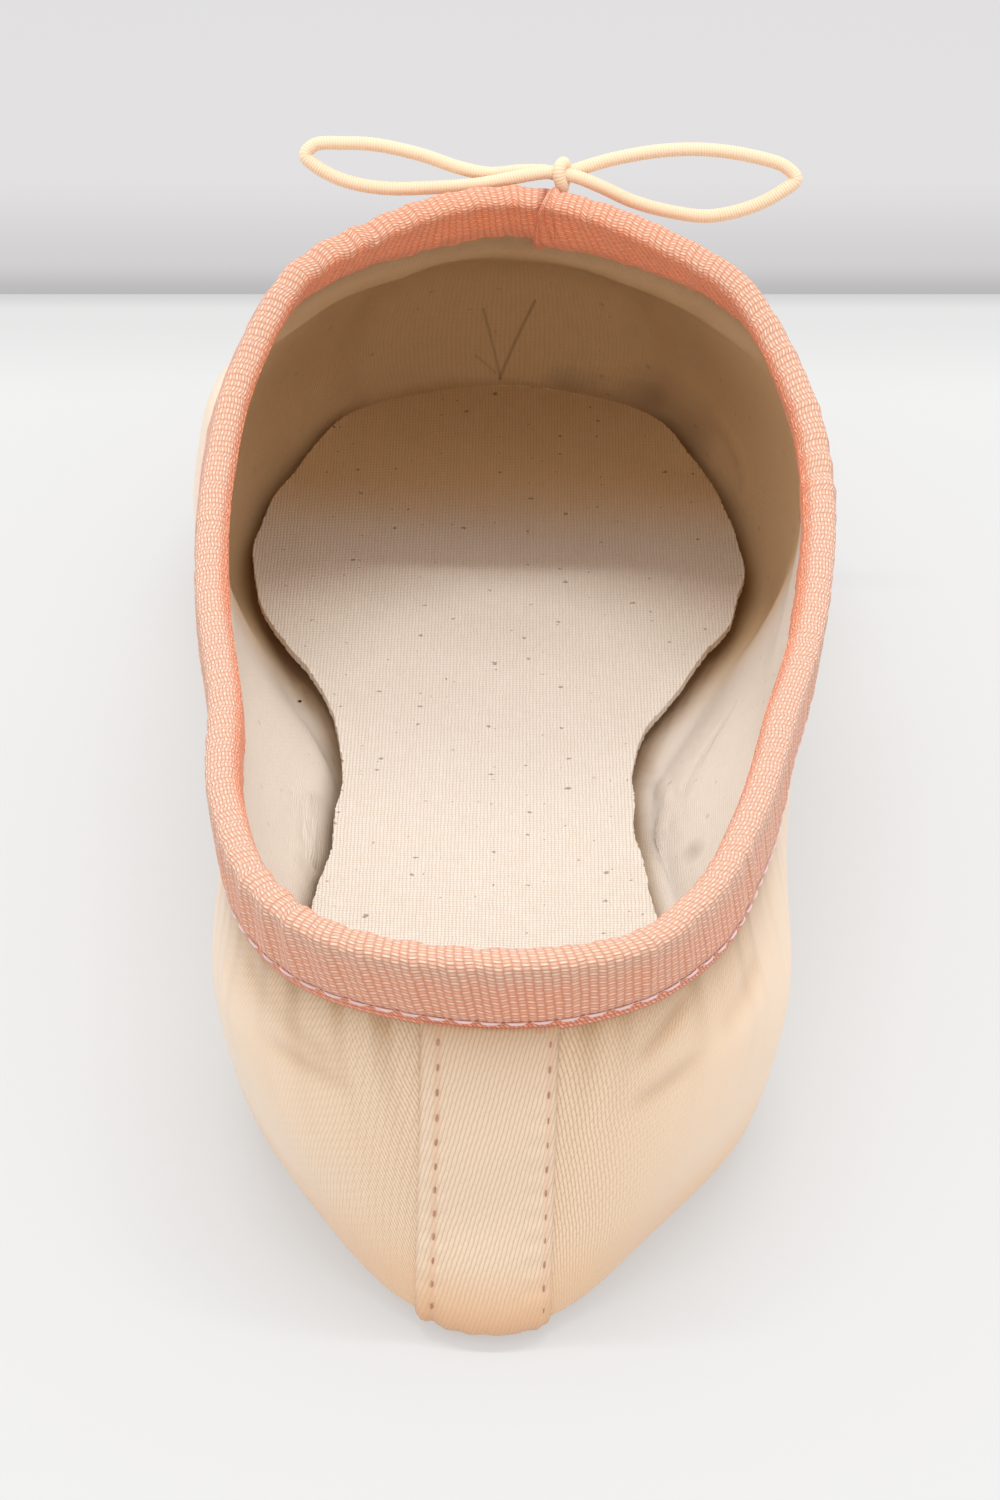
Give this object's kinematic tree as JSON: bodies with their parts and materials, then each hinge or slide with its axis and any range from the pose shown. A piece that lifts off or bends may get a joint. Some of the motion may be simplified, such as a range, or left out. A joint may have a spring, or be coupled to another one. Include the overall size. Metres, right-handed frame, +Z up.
{
  "type": "pointe shoe",
  "caption": "Satin pointe shoe with a blunt stiff toe box, a folded tape with a small elastic bow round its open collar, a strip down the heel and a thin leather sole.",
  "frame": {"origin": "on the floor, under the middle of the shoe's length and width, its bow left out", "axes": "+Y from the heel to the toe, +X to the wearer's right, +Z up from the floor"},
  "size_m": [0.0796, 0.2112, 0.0656],
  "materials": {
    "satin": "satin",
    "leather": "matt suede",
    "canvas": "plain weave",
    "tape": "twill",
    "elastic": "braided"
  },
  "bodies": {
    "root": {"outsole": "leather", "upper": "satin", "insole": "canvas", "binding": "tape", "heel_strip": "satin", "bow_left_loop": "elastic", "bow_right_loop": "elastic", "bow_knot": "elastic"}
  },
  "joints": []
}
